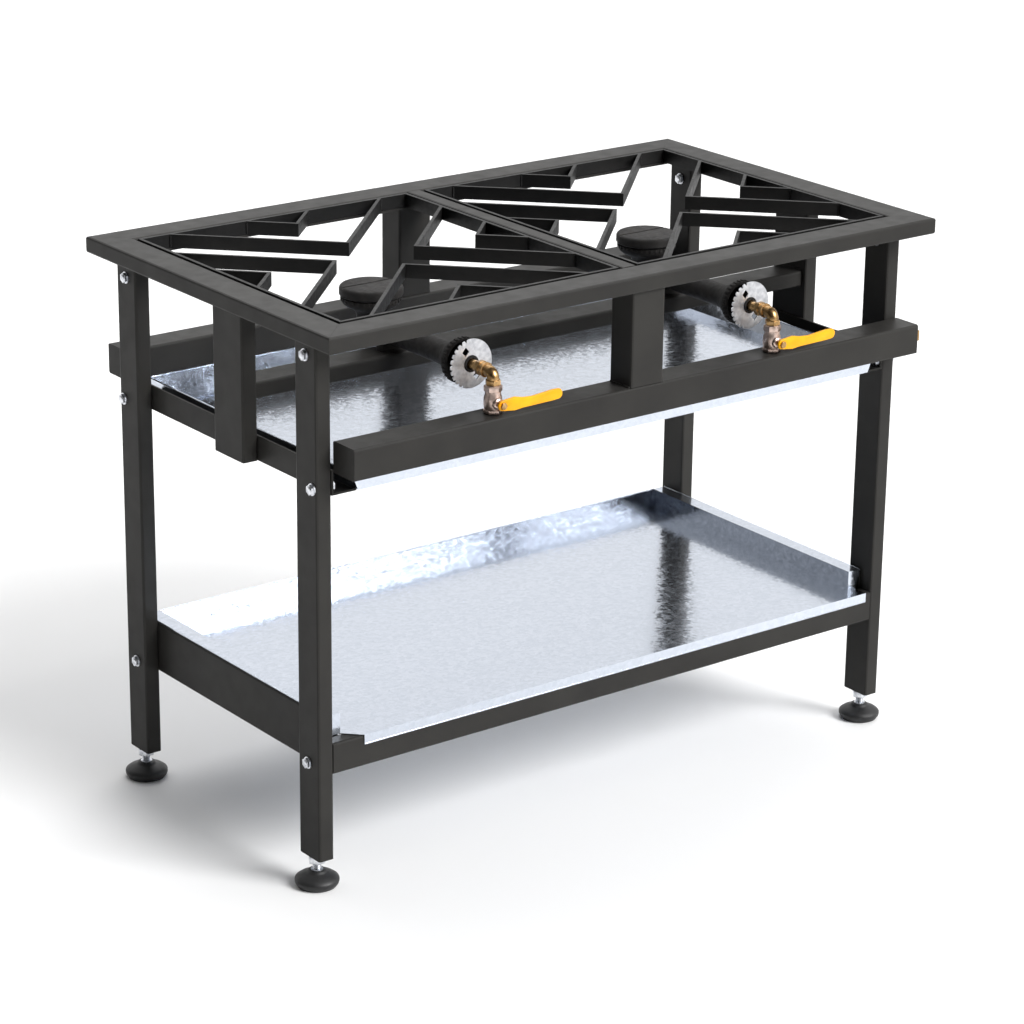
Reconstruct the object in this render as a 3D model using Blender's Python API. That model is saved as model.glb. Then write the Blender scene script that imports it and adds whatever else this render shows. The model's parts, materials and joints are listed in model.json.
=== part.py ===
"""Two-burner gas boiling stand of bolted steel tube, with a manifold, drip tray and shelf.

Metres, +Z up, +X along the manifold, the controls face -Y. The origin is on the floor
under the middle of the frame.
"""
import math

import bmesh
import bpy

# Overall size
LENGTH = 1.080
DEPTH = 0.620
HEIGHT = 0.820

# Stock
WIDE = 0.050  # wide side of the frame and leg tube
THIN = 0.024  # thin side of the same tube
WALL = 0.002
CORNER = 0.003
SHEET = 0.0012
GAP = 0.0003  # clearance between touching pieces

# Legs and levels
LEG_X = 0.512  # leg centre line, left and right
LEG_Y = 0.2285  # leg centre line, front and back
LEG_BOTTOM = 0.046
FRAME_BOTTOM = HEIGHT - THIN
LEG_INNER_X = LEG_X - THIN / 2
LEG_OUTER_Y = LEG_Y + WIDE / 2
FOOT_HOLE = 0.0066

# Manifold and rear rail, in front of and behind the legs
RAIL_HIGH = 0.045
RAIL_TOP = 0.6575
RAIL_WALL = 0.003
RAIL_Y = LEG_OUTER_Y + GAP + WIDE / 2
MANIFOLD_ENDS = (-0.497, 0.522)
REAR_RAIL_ENDS = (-0.512, 0.512)
GAS_PORT = 0.0106
DRAIN_RADIUS = 0.003
SOCKET_RADIUS = 0.0145
SOCKET_BORE = 0.0090
SOCKET_LONG = 0.016

# Drip tray and its angle runners
ANGLE_BOTTOM = 0.580
ANGLE_HIGH = 0.036
ANGLE_WIDE = 0.040
ANGLE_THICK = 0.003
DRIP_X = 0.474
DRIP_FLOOR_X = 0.463
DRIP_Y = 0.262
DRIP_HIGH = 0.0275

# Lower frame and shelf
LOW_BOTTOM = 0.1735
LOW_RAIL_HIGH = 0.046
LOW_SIDE_HIGH = 0.077
SHELF_X = 0.4745
SHELF_FLANGE_X = 0.4975
LIP_LEFT = -0.4488
SHELF_BACK = 0.2445
SHELF_RIM = 0.252
SHELF_LIP = 0.206
LIP_RIGHT = 0.489

# Middle uprights and the bar that carries the burners
SIDE_POST_WIDE = 0.074
SIDE_POST_Y = -0.037
FRONT_POST = 0.058
FRONT_POST_DEEP = 0.048
BAR_Y = -0.042
BAR_HIGH = 0.024
BAR_BOTTOM = 0.6660

# Grates
CENTRE_BAR = 0.025
GRATE_BAR = 0.005
GRATE_HIGH = 0.020
GRATE_PLAY = 0.004
BIG_APEX = 0.066
SMALL_INSET = 0.060
REST_WIDE = 0.010
REST_HIGH = 0.0035

# Burners and gas train
BURNER_X = 0.252
BURNER_Y = 0.010
CAP_TOP = 0.772
CAP_RADIUS = 0.046
CAP_HIGH = 0.016
BOWL_RADIUS = 0.043
NECK_RADIUS = 0.021
CAST_WALL = 0.004
GAS_Z = 0.715  # height of the injector's axis
VENTURI_RADIUS = 0.017
BELL_RADIUS = 0.033
BELL_Y = -0.212
LUG_WIDE = 0.046
LUG_THICK = 0.012
SHUTTER_Y = -0.2285
SHUTTER_RADIUS = 0.0355
SHUTTER_TEETH = 24
TOOTH_HIGH = 0.0025
SHUTTER_BORE = 0.0085
SHUTTER_THICK = 0.0015
AIR_HOLE_TURNS = (118, 298)
AIR_HOLE_REACH = 0.020
AIR_HOLE_RADIUS = 0.005
VALVE_Y = -0.280
VALVE_Z = 0.6735
VALVE_TOP = 0.698
LEVER_Y = -0.302
LEVER_LONG = 0.102
LEVER_HIGH = 0.015
LEVER_THICK = 0.004
LEVER_EYE_RADIUS = 0.0036
ELBOW_RADIUS = 0.0095
NIPPLE_RADIUS = 0.0075
COLLAR_RADIUS = 0.0110
JET_RADIUS = 0.0030
JET_REACH = 0.0820
VALVE_NECK = 0.0100
VALVE_BARREL = 0.0125
VALVE_SUNK = 0.004  # how far the valve's end reaches into the manifold
BOSS_RADIUS = 0.0080
BOSS_REACH = 0.0155
FLOW_RADIUS = 0.0050
SEAT_RADIUS = 0.0085
BALL_RADIUS = 0.0080
STEM_HOLE_RADIUS = 0.0035
SPINDLE_RADIUS = 0.0032
SPINDLE_HEAD_RADIUS = 0.0060
SPINDLE_REACH = 0.0270
CUT_PAST = 0.01  # how far a cutting shape runs past what it cuts

# Feet
PAD_RADIUS = 0.0315
PAD_HIGH = 0.024
STEM_RADIUS = 0.006
HEAD_RADIUS = 0.0075
NUT_ACROSS = 0.022
NUT_HIGH = 0.011
STEM_IN_LEG = 0.030

FINISHES = {
    "black_powder_coat": ((0.022, 0.023, 0.024), 0.42, 0.0),
    "galvanised_steel": ((0.62, 0.65, 0.70), 0.28, 1.0),
    "cast_iron": ((0.035, 0.033, 0.032), 0.70, 0.3),
    "brass": ((0.52, 0.36, 0.16), 0.32, 1.0),
    "nickel_plate": ((0.66, 0.60, 0.56), 0.25, 1.0),
    "zinc_plate": ((0.70, 0.71, 0.72), 0.30, 1.0),
    "yellow_vinyl": ((0.90, 0.48, 0.01), 0.40, 0.0),
    "black_nylon": ((0.016, 0.016, 0.017), 0.55, 0.0),
}


def clear_scene():
    for old in list(bpy.data.objects):
        bpy.data.objects.remove(old, do_unlink=True)


def make_finishes():
    for name, (colour, roughness, metallic) in FINISHES.items():
        finish = bpy.data.materials.new(name)
        finish.use_nodes = True
        shader = finish.node_tree.nodes["Principled BSDF"]
        shader.inputs["Base Color"].default_value = (*colour, 1.0)
        shader.inputs["Roughness"].default_value = roughness
        shader.inputs["Metallic"].default_value = metallic


def new_object(name, mesh_maker, finish, location=(0, 0, 0), rotation=(0, 0, 0)):
    """Makes an object from a BMesh, outward faces, with its finish and its place."""
    bmesh.ops.recalc_face_normals(mesh_maker, faces=mesh_maker.faces)
    mesh = bpy.data.meshes.new(name)
    mesh_maker.to_mesh(mesh)
    mesh_maker.free()
    piece = bpy.data.objects.new(name, mesh)
    bpy.context.scene.collection.objects.link(piece)
    if finish:
        mesh.materials.append(bpy.data.materials[finish])
    piece.location = location
    piece.rotation_euler = [math.radians(angle) for angle in rotation]
    return piece


def smooth(piece):
    piece.data.shade_smooth()
    piece.data.set_sharp_from_angle(angle=math.radians(35))


def cut(piece, cutter, operation="DIFFERENCE"):
    """Adds a Boolean by a hidden cutter, which keeps its own place."""
    cutter.hide_render = True
    cutter.display_type = "WIRE"
    boolean = piece.modifiers.new(cutter.name, "BOOLEAN")
    boolean.operation = operation
    boolean.solver = "EXACT"
    boolean.object = cutter


def rounded_ring(width, depth, radius, steps=2):
    """The corners of a rounded rectangle about the origin, as (u, v)."""
    points = []
    for quarter, (side_u, side_v) in enumerate(((1, 1), (-1, 1), (-1, -1), (1, -1))):
        for step in range(steps + 1):
            angle = math.radians(90) * (quarter + step / steps)
            u = side_u * (width / 2 - radius) + radius * math.cos(angle)
            v = side_v * (depth / 2 - radius) + radius * math.sin(angle)
            points.append((u, v))
    return points


def round_ring(radius, count, turn=0.5):
    """A circle of points about the origin; turn shifts them by part of a step."""
    angles = [math.tau * (k + turn) / count for k in range(count)]
    return [(radius * math.cos(angle), radius * math.sin(angle)) for angle in angles]


def skin(rings, closed):
    """Joins rings of equal count by quads. Closed loops back to the first ring, else the ends are capped."""
    maker = bmesh.new()
    rows = [[maker.verts.new(point) for point in ring] for ring in rings]
    count = len(rows[0])
    pairs = list(zip(rows, rows[1:] + rows[:1] if closed else rows[1:]))
    for low, high in pairs:
        for k in range(count):
            after = (k + 1) % count
            maker.faces.new((low[k], low[after], high[after], high[k]))
    if not closed:
        maker.faces.new(rows[0])
        maker.faces.new(rows[-1])
    return maker


def stack(levels, closed=False):
    """Skins flat rings, given with their heights."""
    return skin([[(u, v, height) for u, v in ring] for ring, height in levels], closed)


def lathe(profile, count=24):
    """Turns (radius, height) points about Z into a capped solid."""
    return stack([(round_ring(radius, count), height) for radius, height in profile])


def box(size, centre=(0, 0, 0)):
    maker = bmesh.new()
    bmesh.ops.create_cube(maker, size=1.0)
    bmesh.ops.scale(maker, vec=size, verts=maker.verts)
    bmesh.ops.translate(maker, vec=centre, verts=maker.verts)
    return maker


def tube(name, length, width, height, location, rotation=(0, 0, 0), mitre=0.0):
    """A rectangular tube along its own X. A mitre of 1 cuts both ends at 45 degrees, longest at -Y."""

    def end(points, side):
        return [(side * (length / 2 - mitre * (y + width / 2)), y, z) for y, z in points]

    outer = rounded_ring(width, height, CORNER)
    inner = rounded_ring(width - 2 * WALL, height - 2 * WALL, CORNER - WALL)
    maker = skin([end(outer, -1), end(outer, 1), end(inner, 1), end(inner, -1)], True)
    piece = new_object(name, maker, "black_powder_coat", location, rotation)
    smooth(piece)
    return piece


def make_top_frame():
    z = HEIGHT - THIN / 2
    edge_x, edge_y = LENGTH / 2 - WIDE / 2, DEPTH / 2 - WIDE / 2
    long, short = LENGTH - GAP, DEPTH - GAP
    tube("top_rail_front", long, WIDE, THIN, (0, -edge_y, z), mitre=1)
    tube("top_rail_right", short, WIDE, THIN, (edge_x, 0, z), (0, 0, 90), mitre=1)
    tube("top_rail_back", long, WIDE, THIN, (0, edge_y, z), (0, 0, 180), mitre=1)
    tube("top_rail_left", short, WIDE, THIN, (-edge_x, 0, z), (0, 0, 270), mitre=1)
    tube("top_centre_bar", DEPTH - 2 * WIDE - 2 * GAP, CENTRE_BAR, THIN, (0, 0, z), (0, 0, 90))


def make_legs():
    """Rectangular tube with a floor plate, drilled for the foot's stem; the top is open under the frame."""
    top = FRAME_BOTTOM - GAP
    outer = rounded_ring(THIN, WIDE, CORNER)
    inner = rounded_ring(THIN - 2 * WALL, WIDE - 2 * WALL, CORNER - WALL)
    hole = round_ring(FOOT_HOLE, len(outer))
    plate = LEG_BOTTOM + 2 * WALL
    levels = [(outer, LEG_BOTTOM), (outer, top), (inner, top), (inner, plate)]
    levels += [(hole, plate), (hole, LEG_BOTTOM)]
    for name, x, y in corners("leg"):
        smooth(new_object(name, stack(levels, True), "black_powder_coat", (x, y, 0)))


def corners(kind):
    """The four leg places, each with its name."""
    for side_y, where_y in ((-1, "front"), (1, "back")):
        for side_x, where_x in ((-1, "left"), (1, "right")):
            yield f"{kind}_{where_y}_{where_x}", side_x * LEG_X, side_y * LEG_Y


def closed_rail(name, ends, y, ports):
    """A square-ended hollow rail across the legs, opened only by its ports: (place, axis, radius)."""
    left, right = ends
    length = right - left
    centre = ((left + right) / 2, y, RAIL_TOP - RAIL_HIGH / 2)
    section = rounded_ring(WIDE, RAIL_HIGH, CORNER)
    maker = skin([[(side * length / 2, u, v) for u, v in section] for side in (-1, 1)], False)
    rail = new_object(name, maker, "black_powder_coat", centre)
    smooth(rail)
    inside = box((length - 2 * RAIL_WALL, WIDE - 2 * RAIL_WALL, RAIL_HIGH - 2 * RAIL_WALL))
    cut(rail, new_object(f"cut_{name}_inside", inside, None, centre))
    for number, (place, rotation, radius) in enumerate(ports):
        drill = lathe([(radius, -4 * RAIL_WALL), (radius, 4 * RAIL_WALL)], 24)
        cut(rail, new_object(f"cut_{name}_port_{number}", drill, None, place, rotation))


def make_rails():
    top_ports = [((side * BURNER_X, VALVE_Y, RAIL_TOP), (0, 0, 0), GAS_PORT) for side in (-1, 1)]
    middle = RAIL_TOP - RAIL_HIGH / 2
    end = (MANIFOLD_ENDS[1], -RAIL_Y, middle)
    closed_rail("manifold_rail", MANIFOLD_ENDS, -RAIL_Y, [*top_ports, (end, (0, 90, 0), GAS_PORT)])
    drain = (0, RAIL_Y, RAIL_TOP - RAIL_HIGH)
    closed_rail("rear_rail", REAR_RAIL_ENDS, RAIL_Y, [(drain, (0, 0, 0), DRAIN_RADIUS)])
    outer, bore = round_ring(SOCKET_RADIUS, 24), round_ring(SOCKET_BORE, 24)
    socket = stack([(outer, GAP), (outer, SOCKET_LONG), (bore, SOCKET_LONG), (bore, GAP)], True)
    smooth(new_object("gas_inlet_socket", socket, "brass", end, (0, 90, 0)))


def make_uprights():
    """Four middle posts: two flat ones at the ends and two box ones, front and back."""
    side_low = ANGLE_BOTTOM
    side_high = FRAME_BOTTOM - GAP
    front_low = RAIL_TOP + GAP
    for side, where in ((-1, "left"), (1, "right")):
        place = (side * LEG_X, SIDE_POST_Y, (side_low + side_high) / 2)
        tube(f"middle_post_{where}", side_high - side_low, SIDE_POST_WIDE, THIN, place, (0, -90, 0))
    y = RAIL_Y + WIDE / 2 - FRONT_POST_DEEP / 2
    for side, where in ((-1, "front"), (1, "back")):
        place = (0, side * y, (front_low + side_high) / 2)
        tube(f"middle_post_{where}", side_high - front_low, FRONT_POST_DEEP, FRONT_POST, place, (0, -90, 0))


def make_runners():
    """Angle irons inside the legs, which the drip tray slides on."""
    for side, where in ((-1, "left"), (1, "right")):
        outer = side * (LEG_INNER_X - GAP)
        profile = [
            (outer, ANGLE_BOTTOM),
            (outer - side * ANGLE_WIDE, ANGLE_BOTTOM),
            (outer - side * ANGLE_WIDE, ANGLE_BOTTOM + ANGLE_THICK),
            (outer - side * ANGLE_THICK, ANGLE_BOTTOM + ANGLE_THICK),
            (outer - side * ANGLE_THICK, ANGLE_BOTTOM + ANGLE_HIGH),
            (outer, ANGLE_BOTTOM + ANGLE_HIGH),
        ]
        rings = [[(x, y, z) for x, z in profile] for y in (-LEG_OUTER_Y, LEG_OUTER_Y)]
        new_object(f"tray_runner_{where}", skin(rings, False), "black_powder_coat")


def make_lower_frame():
    length = 2 * (LEG_INNER_X - GAP)
    z = LOW_BOTTOM + LOW_RAIL_HIGH / 2
    y = LEG_OUTER_Y - THIN / 2
    tube("lower_rail_front", length, THIN, LOW_RAIL_HIGH, (0, -y, z))
    tube("lower_rail_back", length, THIN, LOW_RAIL_HIGH, (0, y, z))
    side_length = 2 * (LEG_OUTER_Y - THIN - GAP)
    side_x = length / 2 - THIN / 2
    side_z = LOW_BOTTOM + LOW_SIDE_HIGH / 2
    for side, where in ((-1, "left"), (1, "right")):
        place = (side * side_x, 0, side_z)
        tube(f"lower_rail_{where}", side_length, THIN, LOW_SIDE_HIGH, place, (0, 0, 90))


def sheet_object(name, points, faces):
    """A bent sheet from its inner surface, thickened outwards."""
    maker = bmesh.new()
    verts = [maker.verts.new(point) for point in points]
    for face in faces:
        maker.faces.new([verts[k] for k in face])
    mesh = bpy.data.meshes.new(name)
    maker.to_mesh(mesh)
    maker.free()
    mesh.materials.append(bpy.data.materials["galvanised_steel"])
    piece = bpy.data.objects.new(name, mesh)
    bpy.context.scene.collection.objects.link(piece)
    thick = piece.modifiers.new("sheet", "SOLIDIFY")
    thick.thickness = SHEET
    thick.offset = -1
    thick.solidify_mode = "NON_MANIFOLD"
    thick.nonmanifold_thickness_mode = "CONSTRAINTS"
    return piece


def make_drip_tray():
    x, y = DRIP_X - SHEET, DRIP_Y - SHEET
    floor_x = DRIP_FLOOR_X - SHEET
    low = ANGLE_BOTTOM + ANGLE_THICK + GAP + SHEET
    high = low - SHEET + DRIP_HIGH
    floor = [(-floor_x, -y, low), (floor_x, -y, low), (floor_x, y, low), (-floor_x, y, low)]
    rim = [(-x, -y, high), (x, -y, high), (x, y, high), (-x, y, high)]
    walls = [(k, k + 4, (k + 1) % 4 + 4, (k + 1) % 4) for k in range(4)]
    sheet_object("drip_tray", floor + rim, [(0, 1, 2, 3), *walls])


def make_shelf():
    """A tray over the lower rails: flanges on the side rails, an upstand behind and a lip in front."""
    x, back, flange_x = SHELF_X - SHEET, SHELF_BACK - SHEET, SHELF_FLANGE_X
    front = -(LEG_OUTER_Y + GAP + SHEET)
    inside = front + THIN
    floor = LOW_BOTTOM + LOW_RAIL_HIGH + GAP + SHEET
    points = [
        (-x, inside, floor), (x, inside, floor), (x, back, floor), (-x, back, floor),
        (LIP_LEFT, front, floor), (x, front, floor), (LIP_RIGHT, front, floor), (LIP_RIGHT, inside, floor),
        (LIP_LEFT, front, SHELF_LIP), (x, front, SHELF_LIP), (LIP_RIGHT, front, SHELF_LIP),
        (-x, inside, SHELF_RIM), (x, inside, SHELF_RIM), (x, back, SHELF_RIM), (-x, back, SHELF_RIM),
        (-flange_x, inside, floor), (-flange_x, inside, SHELF_RIM), (-flange_x, back, SHELF_RIM),
        (flange_x, inside, SHELF_RIM), (flange_x, back, SHELF_RIM),
    ]
    floor_faces = [(0, 1, 2, 3), (4, 5, 1, 0), (5, 6, 7, 1)]
    lip_faces = [(8, 9, 5, 4), (9, 10, 6, 5)]
    walls = [(1, 12, 13, 2), (2, 13, 14, 3), (3, 14, 11, 0)]
    flanges = [(11, 14, 17, 16), (12, 18, 19, 13), (0, 11, 16, 15), (1, 7, 18, 12)]
    sheet_object("lower_shelf", points, floor_faces + lip_faces + walls + flanges)


def grate_section(name, half_edge, reach, centre, turn):
    """One side of a grate: its edge bar with a big and a small V bar that point at the middle.

    Modelled with the edge along X at +Y and turned about the grate's middle.
    """
    thick = GRATE_BAR
    slant = thick * math.sqrt(2)
    inner = reach - thick
    small_apex = reach - SMALL_INSET
    feet = [inner - BIG_APEX, inner - BIG_APEX - slant, inner - small_apex, inner - small_apex - slant]
    maker = bmesh.new()
    made = {}

    def point(u, v):
        key = (round(u, 6), round(v, 6))
        if key not in made:
            made[key] = maker.verts.new((u, v, 0))
        return made[key]

    for side in (-1, 1):
        stops = [0, feet[3], feet[2], feet[1], feet[0]]
        for near, far in zip(stops, stops[1:]):
            quad = ((near, reach), (far, reach), (far, inner), (near, inner))
            maker.faces.new([point(side * u, v) for u, v in quad])
        mitre = ((feet[0], reach), (half_edge, reach), (half_edge - thick, inner), (feet[0], inner))
        maker.faces.new([point(side * u, v) for u, v in mitre])
        for outer_foot, inner_foot, apex in ((feet[0], feet[1], BIG_APEX), (feet[2], feet[3], small_apex)):
            leg = ((outer_foot, inner), (inner_foot, inner), (0, apex + slant), (0, apex))
            maker.faces.new([point(side * u, v) for u, v in leg])
    bmesh.ops.recalc_face_normals(maker, faces=maker.faces)
    grown = bmesh.ops.extrude_face_region(maker, geom=list(maker.faces))
    lifted = [item for item in grown["geom"] if isinstance(item, bmesh.types.BMVert)]
    bmesh.ops.translate(maker, vec=(0, 0, GRATE_HIGH), verts=lifted)
    new_object(name, maker, "black_powder_coat", (centre, 0, HEIGHT - GRATE_HIGH), (0, 0, turn))


def make_grates():
    opening = LENGTH / 2 - WIDE - CENTRE_BAR / 2
    half_x = opening / 2 - GRATE_PLAY
    half_y = DEPTH / 2 - WIDE - GRATE_PLAY
    for side, where in ((-1, "left"), (1, "right")):
        centre = side * (CENTRE_BAR / 2 + opening / 2)
        for edge, turn in (("back", 0), ("front", 180)):
            grate_section(f"grate_{where}_{edge}", half_x - GAP, half_y, centre, turn)
        for edge, turn in (("left", 90), ("right", 270)):
            grate_section(f"grate_{where}_{edge}_side", half_y - GAP, half_x, centre, turn)
        for side_y, edge in ((-1, "front"), (1, "back")):
            y = side_y * (DEPTH / 2 - WIDE - GAP - REST_WIDE / 2)
            z = HEIGHT - GRATE_HIGH - GAP - REST_HIGH / 2
            strip = box((opening - 2 * GAP, REST_WIDE, REST_HIGH))
            new_object(f"grate_rest_{edge}_{where}", strip, "black_powder_coat", (centre, y, z))


def make_burner_bar():
    z = BAR_BOTTOM + BAR_HIGH / 2
    tube("burner_bar", 2 * (LEG_INNER_X - GAP), WIDE, BAR_HIGH, (0, BAR_Y, z))


def make_burner(x, where):
    """Cast body: a cup over a neck, the mixing tube with its bell mouth, and a lug on the bar."""
    top = CAP_TOP - CAP_HIGH
    place = (x, BURNER_Y, 0)
    cup = [
        (NECK_RADIUS - 0.003, GAS_Z - VENTURI_RADIUS - 0.001),
        (NECK_RADIUS, GAS_Z - VENTURI_RADIUS + 0.003),
        (NECK_RADIUS, top - 0.028),
        (BOWL_RADIUS - 0.005, top - 0.012),
        (BOWL_RADIUS, top - 0.007),
        (BOWL_RADIUS, top),
    ]
    body = new_object(f"burner_body_{where}", lathe(cup, 32), "cast_iron", place)
    lug_low = BAR_BOTTOM + BAR_HIGH + GAP
    lug_high = GAS_Z - lug_low
    lug = box((LUG_WIDE, LUG_THICK, lug_high), (0, BAR_Y - BURNER_Y, lug_low + lug_high / 2))
    cut(body, new_object(f"add_lug_{where}", lug, None, place), "UNION")
    reach = BURNER_Y - BELL_Y
    along = (x, BURNER_Y, GAS_Z)
    venturi = [
        (VENTURI_RADIUS, 0.0),
        (VENTURI_RADIUS, reach - 0.040),
        (BELL_RADIUS, reach - 0.010),
        (BELL_RADIUS, reach),
    ]
    outside = new_object(f"add_venturi_{where}", lathe(venturi), None, along, (90, 0, 0))
    cut(body, outside, "UNION")
    chamber = [
        (NECK_RADIUS - CAST_WALL, GAS_Z - VENTURI_RADIUS + CAST_WALL),
        (NECK_RADIUS - CAST_WALL, top - 0.026),
        (BOWL_RADIUS - CAST_WALL, top - 0.006),
        (BOWL_RADIUS - CAST_WALL, top + CUT_PAST),
    ]
    cut(body, new_object(f"cut_chamber_{where}", lathe(chamber, 32), None, place))
    bore = [(radius - CAST_WALL, distance) for radius, distance in venturi]
    bore[-1] = (BELL_RADIUS - CAST_WALL, reach + CUT_PAST)
    cut(body, new_object(f"cut_bore_{where}", lathe(bore), None, along, (90, 0, 0)))
    smooth(body)
    low = top + GAP
    cap = [
        (CAP_RADIUS * 0.94, low),
        (CAP_RADIUS, low + 0.002),
        (CAP_RADIUS, CAP_TOP - 0.003),
        (CAP_RADIUS * 0.96, CAP_TOP),
    ]
    smooth(new_object(f"burner_cap_{where}", lathe(cap, 40), "cast_iron", place))


def make_shutter(x, where):
    """A toothed disc on the injector that closes the bell mouth; its origin is on its own axis."""
    outline = []
    for tooth in range(SHUTTER_TEETH * 2):
        radius = SHUTTER_RADIUS if tooth % 2 else SHUTTER_RADIUS - TOOTH_HIGH
        angle = math.tau * tooth / (SHUTTER_TEETH * 2)
        outline.append((radius * math.cos(angle), radius * math.sin(angle)))
    hole = round_ring(SHUTTER_BORE, len(outline), 0)
    disc = stack([(outline, 0), (outline, SHUTTER_THICK), (hole, SHUTTER_THICK), (hole, 0)], True)
    name = f"air_shutter_{where}"
    shutter = new_object(name, disc, "zinc_plate", (x, SHUTTER_Y, GAS_Z), (90, 0, 0))
    for number, turn in enumerate(AIR_HOLE_TURNS):
        angle = math.radians(turn)
        drill = lathe([(AIR_HOLE_RADIUS, -CUT_PAST), (AIR_HOLE_RADIUS, CUT_PAST)], 12)
        across, up = AIR_HOLE_REACH * math.cos(angle), AIR_HOLE_REACH * math.sin(angle)
        place = (x + across, SHUTTER_Y, GAS_Z + up)
        cut(shutter, new_object(f"cut_{name}_{number}", drill, None, place, (90, 0, 0)))


def make_elbow(x, where):
    """Brass elbow from the valve up and back into the injector, which enters the bell."""
    riser = [
        (NIPPLE_RADIUS, VALVE_TOP + GAP),
        (NIPPLE_RADIUS, VALVE_TOP + 0.004),
        (ELBOW_RADIUS, VALVE_TOP + 0.005),
        (ELBOW_RADIUS, GAS_Z + 0.008),
    ]
    elbow = new_object(f"injector_elbow_{where}", lathe(riser, 20), "brass", (x, VALVE_Y, 0))
    injector = [
        (ELBOW_RADIUS, -0.006),
        (ELBOW_RADIUS, 0.022),
        (COLLAR_RADIUS, 0.0225),
        (COLLAR_RADIUS, 0.0320),
        (NIPPLE_RADIUS, 0.0325),
        (NIPPLE_RADIUS, 0.0720),
        (JET_RADIUS, JET_REACH),
    ]
    arm = new_object(f"add_injector_{where}", lathe(injector, 20), None, (x, VALVE_Y, GAS_Z), (-90, 0, 0))
    cut(elbow, arm, "UNION")
    smooth(elbow)


def make_valve(x, where):
    """Ball valve on the manifold, flow along Z, with its stem and lever turning about Y."""
    low = RAIL_TOP - RAIL_WALL - VALVE_SUNK
    profile = [
        (VALVE_NECK, low),
        (VALVE_NECK, RAIL_TOP + 0.002),
        (VALVE_BARREL, RAIL_TOP + 0.004),
        (VALVE_BARREL, VALVE_TOP - 0.009),
        (VALVE_NECK + 0.001, VALVE_TOP - 0.007),
        (VALVE_NECK + 0.001, VALVE_TOP),
    ]
    body = new_object(f"valve_body_{where}", lathe(profile, 24), "nickel_plate", (x, VALVE_Y, 0))
    boss = lathe([(BOSS_RADIUS, 0.0), (BOSS_RADIUS, BOSS_REACH)], 20)
    axis = (x, VALVE_Y, VALVE_Z)
    cut(body, new_object(f"add_boss_{where}", boss, None, axis, (90, 0, 0)), "UNION")
    ends = (low - CUT_PAST - VALVE_Z, VALVE_TOP + CUT_PAST - VALVE_Z)
    flow = lathe([(FLOW_RADIUS, ends[0]), (FLOW_RADIUS, ends[1])], 16)
    cut(body, new_object(f"cut_flow_{where}", flow, None, axis))
    seat = [
        (0.0030, -SEAT_RADIUS),
        (SEAT_RADIUS, -0.0030),
        (SEAT_RADIUS, 0.0030),
        (STEM_HOLE_RADIUS, SEAT_RADIUS),
    ]
    cut(body, new_object(f"cut_seat_{where}", lathe(seat, 20), None, axis, (90, 0, 0)))
    stem_hole = lathe([(STEM_HOLE_RADIUS, 0.0), (STEM_HOLE_RADIUS, 0.030)], 16)
    cut(body, new_object(f"cut_stem_{where}", stem_hole, None, axis, (90, 0, 0)))
    smooth(body)
    lever_front = -LEVER_Y + VALVE_Y + LEVER_THICK / 2 + GAP
    spindle = [
        (0.0026, -BALL_RADIUS),
        (BALL_RADIUS, -0.0027),
        (BALL_RADIUS, 0.0027),
        (SPINDLE_RADIUS, BALL_RADIUS - 0.0005),
        (SPINDLE_RADIUS, lever_front),
        (SPINDLE_HEAD_RADIUS, lever_front),
        (SPINDLE_HEAD_RADIUS, SPINDLE_REACH),
    ]
    stem = new_object(f"valve_stem_{where}", lathe(spindle, 20), "zinc_plate", axis, (90, 0, 0))
    smooth(stem)
    make_lever(x, where)


def make_lever(x, where):
    """Flat lever with a round hub, its origin on the stem's axis."""
    hub = LEVER_HIGH / 2
    turns = 8
    outline = []
    for start, centre in ((90, 0.0), (-90, LEVER_LONG - hub)):
        for step in range(turns + 1):
            angle = math.radians(start + 180 * step / turns)
            outline.append((centre + hub * math.cos(angle), hub * math.sin(angle)))
    half = LEVER_THICK / 2
    rings = [[(u, y, v) for u, v in outline] for y in (-half, half)]
    lever = new_object(f"valve_lever_{where}", skin(rings, False), "yellow_vinyl", (x, LEVER_Y, VALVE_Z))
    eye = lathe([(LEVER_EYE_RADIUS, -CUT_PAST), (LEVER_EYE_RADIUS, CUT_PAST)], 16)
    cut(lever, new_object(f"cut_eye_{where}", eye, None, (x, LEVER_Y, VALVE_Z), (90, 0, 0)))


def hexagon(across):
    """A hexagon as twelve points: six corners and the six middles of its sides."""
    corner = round_ring(across / 2 / math.cos(math.radians(30)), 12, 0)
    middle = round_ring(across / 2, 12, 0)
    return [middle[k] if k % 2 else corner[k] for k in range(12)]


def make_feet():
    """Levelling feet: a domed pad moulded round the head of a zinc stem that screws into the leg."""
    head_low = PAD_HIGH - 0.012
    pad = [
        (PAD_RADIUS - 0.0015, 0.0),
        (PAD_RADIUS, 0.0015),
        (PAD_RADIUS, 0.0085),
        (PAD_RADIUS * 0.80, 0.0150),
        (0.0135, PAD_HIGH - 0.001),
        (0.0120, PAD_HIGH),
        (HEAD_RADIUS + GAP, PAD_HIGH),
        (HEAD_RADIUS + GAP, head_low - GAP),
    ]
    for name, x, y in corners("foot_pad"):
        smooth(new_object(name, lathe(pad), "black_nylon", (x, y, 0)))
    nut = hexagon(NUT_ACROSS)
    head, thread = round_ring(HEAD_RADIUS, len(nut), 0), round_ring(STEM_RADIUS, len(nut), 0)
    nut_top = LEG_BOTTOM - 2 * GAP
    stem = [
        (head, head_low),
        (head, nut_top - NUT_HIGH),
        (nut, nut_top - NUT_HIGH),
        (nut, nut_top),
        (thread, nut_top),
        (thread, LEG_BOTTOM + STEM_IN_LEG),
    ]
    for name, x, y in corners("foot_stem"):
        new_object(name, stack(stem), "zinc_plate", (x, y, 0))


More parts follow.
